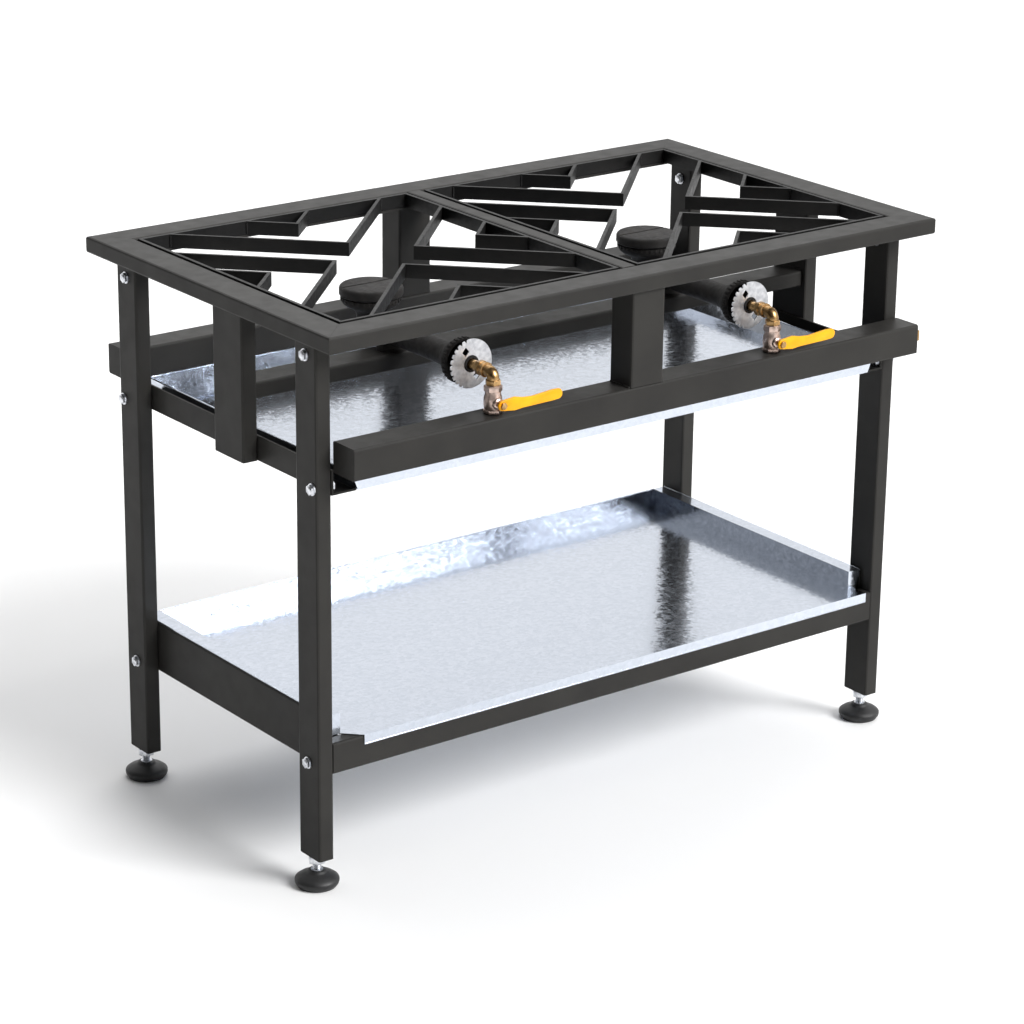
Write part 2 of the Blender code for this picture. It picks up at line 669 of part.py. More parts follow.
def main():
    clear_scene()
    make_finishes()
    make_top_frame()
    make_legs()
    make_rails()
    make_uprights()
    make_runners()
    make_lower_frame()
    make_drip_tray()
    make_shelf()
    make_grates()
    make_burner_bar()
    for side, where in ((-1, "left"), (1, "right")):
        x = side * BURNER_X
        make_burner(x, where)
        make_shutter(x, where)
        make_elbow(x, where)
        make_valve(x, where)
    make_feet()


main()
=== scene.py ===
"""Looks for a two-burner gas stand: powder-coated tube, galvanised trays, brass and zinc fittings."""
import json
import math

import bmesh
import bpy
from mathutils import Matrix, Vector


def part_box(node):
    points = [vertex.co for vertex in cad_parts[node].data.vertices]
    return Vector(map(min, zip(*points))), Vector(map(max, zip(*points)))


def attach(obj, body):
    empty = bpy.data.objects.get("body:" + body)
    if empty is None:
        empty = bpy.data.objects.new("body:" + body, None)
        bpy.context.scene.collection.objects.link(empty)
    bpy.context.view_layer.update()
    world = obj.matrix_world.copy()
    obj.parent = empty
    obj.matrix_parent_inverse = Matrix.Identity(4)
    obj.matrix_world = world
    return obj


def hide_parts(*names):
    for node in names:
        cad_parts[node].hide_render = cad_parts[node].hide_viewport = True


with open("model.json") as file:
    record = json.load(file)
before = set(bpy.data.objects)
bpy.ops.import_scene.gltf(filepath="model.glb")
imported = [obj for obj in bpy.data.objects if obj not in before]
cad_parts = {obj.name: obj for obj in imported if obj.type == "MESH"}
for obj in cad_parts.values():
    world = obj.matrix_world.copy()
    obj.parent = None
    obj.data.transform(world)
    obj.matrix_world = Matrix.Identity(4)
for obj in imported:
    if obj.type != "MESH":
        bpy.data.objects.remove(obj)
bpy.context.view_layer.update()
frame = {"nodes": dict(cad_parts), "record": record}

SIDES = {"left": -1, "right": 1}
MM = 0.001
NOISE_LOW, NOISE_HIGH = 0.3, 0.7  # most of a noise pattern's values lie between these
THROUGH = (-5 * MM, 15 * MM)  # a cutter's ends on the air shutter, well past both faces

# Bolts in each leg: distance from the middle in Y, height, and what stands between leg and nut
BOLT_PLACES = {
    "top frame": (228.5 * MM, 775 * MM, 0),
    "tray runner": (243 * MM, 591 * MM, 3 * MM),
    "lower rail": (227 * MM, 188.5 * MM, 24 * MM),
}
SHELF_LIP_LEFT = -448 * MM

# Welds: how far a bead stops short of a corner, and the grates' bars
BEAD_SHORT = 4 * MM
BAR_BEAD_SHORT = 3 * MM
GRATE_BAR_THICK = 5 * MM
SMALL_V_REACH = 55 * MM

# Burner and gas train
BOWL_RADIUS = 43 * MM
FLAME_PORTS = 36
KNURLS = 30
ELBOW_END_Y = -252 * MM
COLLAR_Y = -266 * MM
NUT_Y = -256 * MM
JET_Y = -247 * MM
AIR_HOLE_TURNS = (118, 298)
AIR_HOLE_REACH = 20 * MM
NOTCHES = 11
FIRST_NOTCH_TURN, NOTCH_STEP = 105, 14
NOTCH_DEPTH = 4.4 * MM

# Feet
THREAD_RADIUS, THREAD_ROOT = 6 * MM, 5.2 * MM
THREAD_PITCH = 1.75 * MM

# Studio
SURROUND_WAY = (1.0, 0.4, 0.0)  # the surround is white towards here and dim the other way
SURROUND_DIM, SURROUND_WHITE = -0.8, 0.3
KEY_WAY = (-0.32, 0.74, -0.60)
KEY_STRENGTH = 3.6
KEY_SPREAD = 30  # degrees
OVERHEAD_PLACE = (1.2, 1.8, 3.6)
OVERHEAD_AIM = (0, 0, 0.4)
OVERHEAD_SIZE = (3.0, 3.0)
OVERHEAD_POWER = 60
FLOOR_HALF = 30

# Camera: turn about Z, height and roll in degrees, then metres; the lens in mm on a 36 mm sensor
VIEW_TURNS = (-37.291, 19.667, 0.692)
VIEW_DISTANCE = 4.9638
VIEW_TARGET = (-0.01095, -0.00942, 0.38514)
LENS = 116.859375
SENSOR_WIDTH = 36


def linear(hex_colour):
    """An sRGB hex colour as linear RGBA."""
    shares = [int(hex_colour[k : k + 2], 16) / 255 for k in (1, 3, 5)]
    return (*[s / 12.92 if s <= 0.04045 else ((s + 0.055) / 1.055) ** 2.4 for s in shares], 1.0)


def node(tree, kind, settings=None, inputs=None):
    """Adds a node. Settings are its properties; an input takes a value, or a socket to link."""
    made = tree.nodes.new(kind)
    for name, value in (settings or {}).items():
        setattr(made, name, value)
    for name, value in (inputs or {}).items():
        if isinstance(value, bpy.types.NodeSocket):
            tree.links.new(value, made.inputs[name])
        else:
            made.inputs[name].default_value = value
    return made


def new_material(name, colour, roughness, metallic=0.0):
    """A material with its Principled shader and its Object coordinates."""
    made = bpy.data.materials.new(name)
    made.use_nodes = True
    tree = made.node_tree
    shader = tree.nodes["Principled BSDF"]
    shader.inputs["Base Color"].default_value = linear(colour)
    shader.inputs["Roughness"].default_value = roughness
    shader.inputs["Metallic"].default_value = metallic
    place = node(tree, "ShaderNodeTexCoord").outputs["Object"]
    return made, tree, shader, place


def mottle(tree, shader, place, size, dark, light):
    """Lets a finish drift between two colours in blotches of about the given size."""
    blotches = node(tree, "ShaderNodeTexNoise", inputs={"Vector": place, "Scale": 1 / size, "Detail": 3.0})
    ramp = node(tree, "ShaderNodeValToRGB", inputs={"Fac": blotches.outputs["Fac"]})
    stops = ((NOISE_LOW, dark), (NOISE_HIGH, light))
    for stop, (share, colour) in zip(ramp.color_ramp.elements, stops):
        stop.position = share
        stop.color = linear(colour)
    tree.links.new(ramp.outputs["Color"], shader.inputs["Base Color"])


def uneven_gloss(tree, shader, place, size, smooth, rough):
    """Lets a finish drift between two roughnesses in patches of about the given size."""
    patches = node(tree, "ShaderNodeTexNoise", inputs={"Vector": place, "Scale": 1 / size, "Detail": 3.0})
    limits = {"From Min": NOISE_LOW, "From Max": NOISE_HIGH, "To Min": smooth, "To Max": rough}
    spread = node(tree, "ShaderNodeMapRange", inputs={"Value": patches.outputs["Fac"], **limits})
    tree.links.new(spread.outputs["Result"], shader.inputs["Roughness"])


def grain(tree, shader, place, size, depth, strength):
    """Raises a fine grain of the given size and depth."""
    bumps = node(tree, "ShaderNodeTexNoise", inputs={"Vector": place, "Scale": 1 / size, "Detail": 2.0})
    relief = {"Height": bumps.outputs["Fac"], "Distance": depth, "Strength": strength}
    raised = node(tree, "ShaderNodeBump", inputs=relief)
    tree.links.new(raised.outputs["Normal"], shader.inputs["Normal"])


def powder_coat():
    """Polyester powder coat, sprayed and baked: satin black with a fine orange peel."""
    made, tree, shader, place = new_material("satin_black_powder_coat", "#2e2d2c", 0.42)
    mottle(tree, shader, place, 90 * MM, "#2c2b2a", "#333230")
    uneven_gloss(tree, shader, place, 25 * MM, 0.36, 0.47)
    # The peel is about 1.5 mm across; it is drawn at 3 mm so that it shows.
    grain(tree, shader, place, 3 * MM, 0.08 * MM, 0.35)
    shader.inputs["Specular IOR Level"].default_value = 0.1
    return made


def stove_paint():
    """High-temperature stove paint on hot-rolled flat bar: dead black over faint mill scale."""
    made, tree, shader, place = new_material("matt_stove_paint", "#0e0d0d", 0.5)
    mottle(tree, shader, place, 30 * MM, "#0b0b0b", "#141312")
    uneven_gloss(tree, shader, place, 8 * MM, 0.44, 0.58)
    grain(tree, shader, place, 2.5 * MM, 0.08 * MM, 0.4)
    shader.inputs["Specular IOR Level"].default_value = 0.25
    return made


def galvanised():
    """Hot-dip galvanised sheet: bright zinc that froze in flat crystals, its spangle.

    Each crystal leans its own way, so an even surround looks even in it and a dark one breaks up.
    """
    made, tree, shader, place = new_material("galvanised_sheet", "#d4dae4", 0.16, 1.0)
    drift = node(tree, "ShaderNodeTexNoise", inputs={"Vector": place, "Scale": 1 / (14 * MM), "Detail": 2.0})
    bend = {0: drift.outputs["Color"], 1: (6 * MM,) * 3, 2: place}
    bent = node(tree, "ShaderNodeVectorMath", {"operation": "MULTIPLY_ADD"}, bend).outputs[0]
    # Crystals of 6 mm, with 2.5 mm feathering inside them.
    crystals = node(tree, "ShaderNodeTexVoronoi", inputs={"Vector": bent, "Scale": 1 / (6 * MM)})
    feathers = node(tree, "ShaderNodeTexVoronoi", inputs={"Vector": bent, "Scale": 1 / (2.5 * MM)})
    colour_mix = {"data_type": "RGBA"}
    both = {0: 0.35, 6: crystals.outputs["Color"], 7: feathers.outputs["Color"]}
    spangle = node(tree, "ShaderNodeMix", colour_mix, both).outputs[2]
    shares = node(tree, "ShaderNodeSeparateColor", inputs={"Color": spangle})
    tones = {0: shares.outputs["Red"], 6: linear("#ccd3de"), 7: linear("#dae0eb")}
    tree.links.new(node(tree, "ShaderNodeMix", colour_mix, tones).outputs[2], shader.inputs["Base Color"])
    gloss = {"Value": shares.outputs["Green"], "To Min": 0.10, "To Max": 0.21}
    tree.links.new(node(tree, "ShaderNodeMapRange", inputs=gloss).outputs[0], shader.inputs["Roughness"])
    centred = node(tree, "ShaderNodeVectorMath", {"operation": "SUBTRACT"}, {0: spangle, 1: (0.5,) * 3})
    face = node(tree, "ShaderNodeNewGeometry").outputs["Normal"]
    lean = {0: centred.outputs[0], 1: (0.045,) * 3, 2: face}
    leaning = node(tree, "ShaderNodeVectorMath", {"operation": "MULTIPLY_ADD"}, lean).outputs[0]
    facet = node(tree, "ShaderNodeVectorMath", {"operation": "NORMALIZE"}, {0: leaning}).outputs[0]
    tree.links.new(facet, shader.inputs["Normal"])
    return made


def cast_iron():
    """Sand-cast grey iron left raw: matt, near black, with the sand's pits."""
    made, tree, shader, place = new_material("raw_cast_iron", "#1d1c1b", 0.72, 0.25)
    mottle(tree, shader, place, 12 * MM, "#191818", "#2a2725")
    uneven_gloss(tree, shader, place, 6 * MM, 0.62, 0.82)
    grain(tree, shader, place, 1.6 * MM, 0.3 * MM, 0.6)
    return made


def machined_metal(name, dark, light, smooth, rough):
    """Turned or plated metal: its tone and gloss drift a little, with faint tool marks."""
    made, tree, shader, place = new_material(name, light, rough, 1.0)
    mottle(tree, shader, place, 7 * MM, dark, light)
    uneven_gloss(tree, shader, place, 3 * MM, smooth, rough)
    grain(tree, shader, place, 1.2 * MM, 0.03 * MM, 0.12)
    return made


def dipped_vinyl():
    """Lever grip dipped in soft PVC: thick, rounded and slightly uneven yellow."""
    made, tree, shader, place = new_material("yellow_dipped_vinyl", "#e69600", 0.38)
    mottle(tree, shader, place, 40 * MM, "#e69600", "#f0b200")
    uneven_gloss(tree, shader, place, 5 * MM, 0.30, 0.44)
    grain(tree, shader, place, 4 * MM, 0.2 * MM, 0.3)
    shader.inputs["Specular IOR Level"].default_value = 0.3
    return made


def moulded_nylon():
    """Injection-moulded nylon: black, with the mould's fine eroded grain."""
    made, tree, shader, place = new_material("black_moulded_nylon", "#19191a", 0.5)
    mottle(tree, shader, place, 20 * MM, "#161617", "#202021")
    uneven_gloss(tree, shader, place, 8 * MM, 0.44, 0.58)
    grain(tree, shader, place, 1.0 * MM, 0.1 * MM, 0.4)
    return made


COAT = powder_coat()
STOVE_PAINT = stove_paint()
SHEET = galvanised()
IRON = cast_iron()
BRASS = machined_metal("machined_brass", "#8f7048", "#c9a472", 0.26, 0.40)
NICKEL = machined_metal("nickel_plated_brass", "#b8a296", "#dfc9be", 0.30, 0.42)
ZINC = machined_metal("bright_zinc_plate", "#b9bcc2", "#eceef2", 0.24, 0.38)
DIE_CAST = machined_metal("die_cast_zinc", "#bfc1c6", "#e4e5e8", 0.38, 0.55)
VINYL = dipped_vinyl()
NYLON = moulded_nylon()
CAD_FINISH = {
    "black_powder_coat": COAT,
    "galvanised_steel": SHEET,
    "cast_iron": IRON,
    "brass": BRASS,
    "nickel_plate": NICKEL,
    "zinc_plate": ZINC,
    "yellow_vinyl": VINYL,
    "black_nylon": NYLON,
}
SLOT_OF = {finish: slot for slot, finish in CAD_FINISH.items()}
SLOT_OF[DIE_CAST] = "zinc_plate"
SLOT_OF[STOVE_PAINT] = "black_powder_coat"


def finish_cad_nodes():
    """Every node that stays in sight gets its real finish."""
    slots = {entry["node"]: entry["material_slot"] for entry in frame["record"]["subparts"]}
    for name, made in frame["nodes"].items():
        grate = name.startswith(("grate_left", "grate_right"))
        for slot in made.material_slots:
            slot.material = STOVE_PAINT if grate else CAD_FINISH[slots[name]]


# --- mesh tools ---


def circle(radius, steps):
    turns = [math.tau * k / steps for k in range(steps)]
    return [(radius * math.cos(turn), radius * math.sin(turn)) for turn in turns]


def hexagon(across):
    return circle(across / math.sqrt(3), 6)


def bridge(made, low, high):
    """Joins two rings of vertices with a band of faces; a ring of one vertex is a pole."""
    steps = max(len(low), len(high))
    for k in range(steps):
        after = (k + 1) % steps
        spots = ((low, k), (low, after), (high, after), (high, k))
        made.faces.new(list(dict.fromkeys(ring[spot % len(ring)] for ring, spot in spots)))


def round_edges(made, edges, width):
    bmesh.ops.bevel(made, geom=edges, offset=width, segments=3, profile=0.5, affect="EDGES")


def lathe(profile, steps=48):
    """Turns (radius, height) points about Z into a closed shell; a radius of 0 is a pole."""
    made = bmesh.new()
    rings = []
    for radius, height in profile:
        ring = circle(radius, steps) if radius else [(0, 0)]
        rings.append([made.verts.new((x, y, height)) for x, y in ring])
    for low, high in zip(rings, rings[1:]):
        bridge(made, low, high)
    for end in (rings[0], rings[-1]):
        if len(end) > 1:
            made.faces.new(end)
    bmesh.ops.recalc_face_normals(made, faces=made.faces)
    return made


def tube_ring(section, steps=48):
    """Turns a closed section of (radius, height) points about Z into a ring."""
    made = bmesh.new()
    rings = []
    for radius, height in section:
        rings.append([made.verts.new((x, y, height)) for x, y in circle(radius, steps)])
    for low, high in zip(rings, rings[1:] + rings[:1]):
        bridge(made, low, high)
    bmesh.ops.recalc_face_normals(made, faces=made.faces)
    return made


def prism(outline, low, high, soften=0.0):
    """A flat outline in X and Y made solid from low to high, its rims softened."""
    made = bmesh.new()
    rows = [[made.verts.new((u, v, height)) for u, v in outline] for height in (low, high)]
    bridge(made, *rows)
    caps = [made.faces.new(row) for row in rows]
    bmesh.ops.recalc_face_normals(made, faces=made.faces)
    if soften:
        round_edges(made, [edge for cap in caps for edge in cap.edges], soften)
    return made


def block(size, soften):
    """A box about the origin with every edge rounded."""
    made = bmesh.new()
    bmesh.ops.create_cube(made, size=1.0)
    bmesh.ops.scale(made, vec=size, verts=made.verts)
    round_edges(made, made.edges, soften)
    return made


def sweep(path, radius, steps=32):
    """A round bar along a path of points, closed at both ends."""
    made = bmesh.new()
    path = [Vector(point) for point in path]
    rings = []
    for k, point in enumerate(path):
        along = (path[min(k + 1, len(path) - 1)] - path[max(k - 1, 0)]).normalized()
        across = along.cross(Vector((1, 0, 0))) if abs(along.x) < 0.9 else along.cross(Vector((0, 0, 1)))
        across.normalize()
        other = along.cross(across)
        ring = []
        for step in range(steps):
            turn = math.tau * step / steps
            ring.append(made.verts.new(point + radius * (math.cos(turn) * across + math.sin(turn) * other)))
        rings.append(ring)
    for low, high in zip(rings, rings[1:]):
        bridge(made, low, high)
    made.faces.new(rings[0])
    made.faces.new(rings[-1])
    bmesh.ops.recalc_face_normals(made, faces=made.faces)
    return made


def moved(made, place=(0, 0, 0), turn=0.0, axis="X"):
    """Turns a mesh about an axis through the origin, then moves it."""
    matrix = Matrix.Translation(place) @ Matrix.Rotation(math.radians(turn), 4, axis)
    made.transform(matrix)
    return made


def joined(parts):
    """Puts several meshes into one."""
    total = bmesh.new()
    for part in parts:
        mesh = bpy.data.meshes.new("part")
        part.to_mesh(mesh)
        part.free()
        total.from_mesh(mesh)
        bpy.data.meshes.remove(mesh)
    return total


def loose(made):
    """A bare object for a mesh that a modifier reads."""
    mesh = bpy.data.meshes.new("loose")
    made.to_mesh(mesh)
    made.free()
    holder = bpy.data.objects.new("loose", mesh)
    bpy.context.scene.collection.objects.link(holder)
    return holder


def evaluated(holder):
    """The finished mesh of an object with modifiers, which is then removed."""
    graph = bpy.context.evaluated_depsgraph_get()
    mesh = bpy.data.meshes.new_from_object(holder.evaluated_get(graph))
    bpy.data.objects.remove(holder)
    return mesh


def carved(made, cutters, operation="DIFFERENCE"):
    """Cuts meshes from a mesh, or unites them with it."""
    holder = loose(made)
    tools = [loose(cutter) for cutter in cutters]
    for tool in tools:
        boolean = holder.modifiers.new("cut", "BOOLEAN")
        boolean.operation = operation
        boolean.solver = "EXACT"
        boolean.object = tool
    mesh = evaluated(holder)
    for tool in tools:
        bpy.data.objects.remove(tool)
    result = bmesh.new()
    result.from_mesh(mesh)
    return result


def finished(name, made, finish, body, stands_for=(), sharp=35):
    """Makes the finished piece: smooth, in its finish, on its body."""
    mesh = made
    if isinstance(made, bmesh.types.BMesh):
        mesh = bpy.data.meshes.new(name)
        made.to_mesh(mesh)
        made.free()
    mesh.name = name
    mesh.materials.clear()
    mesh.materials.append(finish)
    for face in mesh.polygons:
        face.material_index = 0
    mesh.shade_smooth()
    mesh.set_sharp_from_angle(angle=math.radians(sharp))
    piece = bpy.data.objects.new(name, mesh)
    bpy.context.scene.collection.objects.link(piece)
    if stands_for:
        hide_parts(*stands_for)
    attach(piece, body)
    return piece


# --- geometry node trees for what repeats ---


def new_tree(name, inputs):
    """A geometry tree with a mesh in, a mesh out and named inputs: (name, kind, default)."""
    tree = bpy.data.node_groups.new(name, "GeometryNodeTree")
    tree.interface.new_socket("Geometry", in_out="INPUT", socket_type="NodeSocketGeometry")
    tree.interface.new_socket("Geometry", in_out="OUTPUT", socket_type="NodeSocketGeometry")
    for title, kind, default in inputs:
        socket = tree.interface.new_socket(title, in_out="INPUT", socket_type=kind)
        if default is not None:
            socket.default_value = default
    source = node(tree, "NodeGroupInput").outputs
    return tree, source


def close_tree(tree, instances, finish):
    """Ends a tree in real geometry with its finish."""
    real = node(tree, "GeometryNodeRealizeInstances", inputs={"Geometry": instances})
    dressed = node(tree, "GeometryNodeSetMaterial", inputs={"Geometry": real.outputs[0], "Material": finish})
    node(tree, "NodeGroupOutput", inputs={"Geometry": dressed.outputs[0]})
    return tree


def grown(tree, source, settings=None):
    """Runs a tree on a mesh with named settings and gives back the plain mesh."""
    holder = loose(source)
    modifier = holder.modifiers.new("grow", "NODES")
    modifier.node_group = tree
    names = {item.name: item.identifier for item in tree.interface.items_tree if item.in_out == "INPUT"}
    for title, value in (settings or {}).items():
        modifier[names[title]] = value
    return evaluated(holder)


def bolt_tree():
    """A washer and a hexagon head with a low dome on every point, facing along the point's normal."""
    sizes = [
        ("Across flats", "NodeSocketFloat", 13 * MM),
        ("Height", "NodeSocketFloat", 5 * MM),
        ("Washer radius", "NodeSocketFloat", 8.6 * MM),
    ]
    tree, source = new_tree("bolt heads", sizes)
    across, height, times = source["Across flats"], source["Height"], {"operation": "MULTIPLY"}
    corner = node(tree, "ShaderNodeMath", times, {0: across, 1: 0.577}).outputs[0]
    dome_radius = node(tree, "ShaderNodeMath", times, {0: across, 1: 0.47}).outputs[0]
    head_middle = node(tree, "ShaderNodeMath", times, {0: height, 1: 0.55}).outputs[0]
    washer_size = {"Vertices": 28, "Radius": source["Washer radius"], "Depth": 1.4 * MM}
    washer = node(tree, "GeometryNodeMeshCylinder", inputs=washer_size)
    head_size = {"Vertices": 6, "Radius": corner, "Depth": height}
    head = node(tree, "GeometryNodeMeshCylinder", inputs=head_size)
    dome_size = {"Segments": 24, "Rings": 12, "Radius": dome_radius}
    dome = node(tree, "GeometryNodeMeshUVSphere", inputs=dome_size)
    flat = {"Geometry": dome.outputs["Mesh"], "Scale": (1, 1, 0.32)}
    low_dome = node(tree, "GeometryNodeTransform", inputs=flat)
    group = node(tree, "GeometryNodeJoinGeometry")
    parts = (
        (washer.outputs["Mesh"], 0.7 * MM),
        (head.outputs["Mesh"], head_middle),
        (low_dome.outputs[0], height),
    )
    for part, level in parts:
        up = node(tree, "ShaderNodeCombineXYZ", inputs={"Z": level})
        lift = {"Geometry": part, "Translation": up.outputs[0]}
        tree.links.new(node(tree, "GeometryNodeTransform", inputs=lift).outputs[0], group.inputs[0])
    facing = node(tree, "GeometryNodeInputNamedAttribute", {"data_type": "FLOAT_VECTOR"}, {"Name": "facing"})
    turn = node(tree, "FunctionNodeAlignRotationToVector", {"axis": "Z"}, {"Vector": facing.outputs[0]})
    places = {"Points": source["Geometry"], "Instance": group.outputs[0], "Rotation": turn.outputs[0]}
    heads = node(tree, "GeometryNodeInstanceOnPoints", inputs=places)
    return close_tree(tree, heads.outputs[0], ZINC)


def bead_tree(finish):
    """A weld bead of overlapping ripples along every edge of the source mesh."""
    inputs = [
        ("Pitch", "NodeSocketFloat", 2.2 * MM),
        ("Radius", "NodeSocketFloat", 2.4 * MM),
        ("Seed", "NodeSocketInt", 7),
    ]
    tree, source = new_tree("weld beads", inputs)
    line = node(tree, "GeometryNodeMeshToCurve", inputs={"Mesh": source["Geometry"]})
    step = {"Curve": line.outputs[0], "Length": source["Pitch"]}
    spaced = node(tree, "GeometryNodeResampleCurve", {"mode": "LENGTH"}, step)
    ripple = node(tree, "GeometryNodeMeshIcoSphere", inputs={"Radius": source["Radius"], "Subdivisions": 2})
    along = node(tree, "GeometryNodeInputTangent")
    turn = node(tree, "FunctionNodeAlignRotationToVector", {"axis": "Z"}, {"Vector": along.outputs[0]})
    spread = {"Min": (0.85, 0.85, 0.7), "Max": (1.1, 1.1, 0.95), "Seed": source["Seed"]}
    sizes = node(tree, "FunctionNodeRandomValue", {"data_type": "FLOAT_VECTOR"}, spread)
    places = {
        "Points": spaced.outputs[0],
        "Instance": ripple.outputs["Mesh"],
        "Rotation": turn.outputs[0],
        "Scale": sizes.outputs[0],
    }
    beads = node(tree, "GeometryNodeInstanceOnPoints", inputs=places)
    return close_tree(tree, beads.outputs[0], finish)


def ring_tree(finish):
    """A small part repeated round a circle, its X axis outwards."""
    inputs = [
        ("Count", "NodeSocketInt", 36),
        ("Radius", "NodeSocketFloat", 30 * MM),
        ("Part", "NodeSocketObject", None),
    ]
    tree, source = new_tree("ring of parts", inputs)
    size = {"Vertices": source["Count"], "Radius": source["Radius"]}
    round_line = node(tree, "GeometryNodeMeshCircle", inputs=size)
    part = node(tree, "GeometryNodeObjectInfo", inputs={"Object": source["Part"]})
    spot = node(tree, "GeometryNodeInputPosition")
    turn = node(tree, "FunctionNodeAlignRotationToVector", {"axis": "X"}, {"Vector": spot.outputs[0]})
    shape = part.outputs["Geometry"]
    places = {"Points": round_line.outputs[0], "Instance": shape, "Rotation": turn.outputs[0]}
    copies = node(tree, "GeometryNodeInstanceOnPoints", inputs=places)
    return close_tree(tree, copies.outputs[0], finish)


def ring_of(part, finish, count, radius):
    """Runs the ring tree for one small part and gives back its mesh as a BMesh."""
    seed = loose(part)
    mesh = grown(ring_tree(finish), bmesh.new(), {"Count": count, "Radius": radius, "Part": seed})
    bpy.data.objects.remove(seed)
    result = bmesh.new()
    result.from_mesh(mesh)
    return result


# --- pieces ---


def bolts():
    """Bolts through the legs: heads outside, nuts inside, at the frame, the runners and the lower rails."""
    leg_low, leg_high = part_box("leg_front_left")
    outer_x = -leg_low.x
    inner_x = outer_x - (leg_high.x - leg_low.x)
    points = []
    for side_x in SIDES.values():
        for side_y in SIDES.values():
            for y, z, between in BOLT_PLACES.values():
                points.append(((side_x * outer_x, side_y * y, z), side_x))
                points.append(((side_x * (inner_x - between - 0.3 * MM), side_y * y, z), -side_x))
    source = bmesh.new()
    facing = source.verts.layers.float_vector.new("facing")
    for place, way in points:
        source.verts.new(place)[facing] = (way, 0, 0)
    finished("bolt_heads", grown(bolt_tree(), source), ZINC, "frame", sharp=30)


def bead_lines():
    """The frame's welded seams in sight: the short posts on the rails and the burner bar's ends."""
    lines = []
    for name in ("middle_post_front", "middle_post_back"):
        low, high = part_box(name)
        for x in (low.x, high.x):
            lines.append(((x, low.y + BEAD_SHORT, low.z), (x, high.y - BEAD_SHORT, low.z)))
            lines.append(((x, low.y + BEAD_SHORT, high.z), (x, high.y - BEAD_SHORT, high.z)))
    bar_low, bar_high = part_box("burner_bar")
    for x in (bar_low.x, bar_high.x):
        for z in (bar_low.z, bar_high.z):
            lines.append(((x, bar_low.y + BAR_BEAD_SHORT, z), (x, bar_high.y - BAR_BEAD_SHORT, z)))
    for name in ("middle_post_left", "middle_post_right"):
        low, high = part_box(name)
        inner = low.x if low.x > 0 else high.x
        lines.append(((inner, low.y + BEAD_SHORT, high.z), (inner, high.y - BEAD_SHORT, high.z)))
    return lines


def welds():
    source = bmesh.new()
    for start, end in bead_lines():
        source.edges.new((source.verts.new(start), source.verts.new(end)))
    finished("weld_beads", grown(bead_tree(COAT), source), COAT, "frame", sharp=60)


def grate_welds():
    """Tack beads where the V bars meet the edge bars and at each V's point, on each grate."""
    for side in SIDES:
        source = bmesh.new()
        for edge in ("back", "front", "left_side", "right_side"):
            low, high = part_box(f"grate_{side}_{edge}")
            middle = (low + high) / 2
            along_x = edge in ("back", "front")
            outward = 1 if edge in ("back", "right_side") else -1
            rim = (high if outward > 0 else low)[1 if along_x else 0]
            tip = (low if outward > 0 else high)[1 if along_x else 0]
            reach = abs(rim - tip) - GRATE_BAR_THICK
            for run in (reach, SMALL_V_REACH):
                for way in (-1, 1):
                    corner = Vector((middle.x, middle.y, 0))
                    corner[0 if along_x else 1] += way * (run - 1 * MM)
                    corner[1 if along_x else 0] = rim - outward * 5.5 * MM
                    bottom, top = corner.copy(), corner.copy()
                    bottom.z, top.z = low.z + 2 * MM, high.z - 3 * MM
                    source.edges.new((source.verts.new(bottom), source.verts.new(top)))
        settings = {"Pitch": 1.6 * MM, "Radius": 1.7 * MM}
        mesh = grown(bead_tree(STOVE_PAINT), source, settings)
        finished(f"grate_welds_{side}", mesh, STOVE_PAINT, f"grate_{side}", sharp=60)


def tray_hems():
    """Rolled rims: round the drip tray, and on the shelf's upstand, its two flanges and its lip."""
    low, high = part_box("drip_tray")
    z, inset, roll = high.z - 1.2 * MM, 1.0 * MM, 1.5 * MM
    x, y = high.x - inset, high.y - inset
    corners = [(-x, -y, z), (x, -y, z), (x, y, z), (-x, y, z)]
    parts = [sweep([a, b], roll, 12) for a, b in zip(corners, corners[1:] + corners[:1])]
    finished("drip_tray_hem", joined(parts), SHEET, "drip_tray", sharp=60)
    low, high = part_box("lower_shelf")
    inner_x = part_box("lower_rail_right")[0].x - 1.4 * MM
    x, back, z, front = high.x - inset, high.y - inset, high.z - 1.0 * MM, low.y + 25 * MM
    lip_y, lip_z = low.y + 0.9 * MM, low.z + 1.0 * MM
    lip_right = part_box("lower_rail_front")[1].x - 12 * MM
    parts = [sweep([(-inner_x, back, z), (inner_x, back, z)], roll, 12)]
    parts += [sweep([(side * x, front, z), (side * x, back, z)], 1.2 * MM, 12) for side in SIDES.values()]
    parts.append(sweep([(SHELF_LIP_LEFT, lip_y, lip_z), (lip_right, lip_y, lip_z)], 1.3 * MM, 12))
    finished("lower_shelf_hem", joined(parts), SHEET, "lower_shelf", sharp=60)


def burner_cap(side, x, y):
    low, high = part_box(f"burner_cap_{side}")
    radius = (high.x - low.x) / 2
    profile = [
        (0, low.z),
        (radius * 0.90, low.z),
        (radius * 0.97, low.z + 1.2 * MM),
        (radius, low.z + 3 * MM),
        (radius, high.z - 4.5 * MM),
        (radius - 0.8 * MM, high.z - 2.4 * MM),
        (radius - 2.4 * MM, high.z - 0.8 * MM),
        (radius - 5 * MM, high.z),
        (radius * 0.30, high.z - 0.5 * MM),
        (0, high.z - 0.5 * MM),
    ]
    groove = block((2.4 * radius, 5 * MM, 5 * MM), 0.8 * MM)
    cap = carved(lathe(profile, 64), [moved(groove, (0, 9 * MM, high.z + 0.2 * MM))])
    finished(f"round_cap_{side}", moved(cap, (x, y, 0)), IRON, "frame", [f"burner_cap_{side}"])


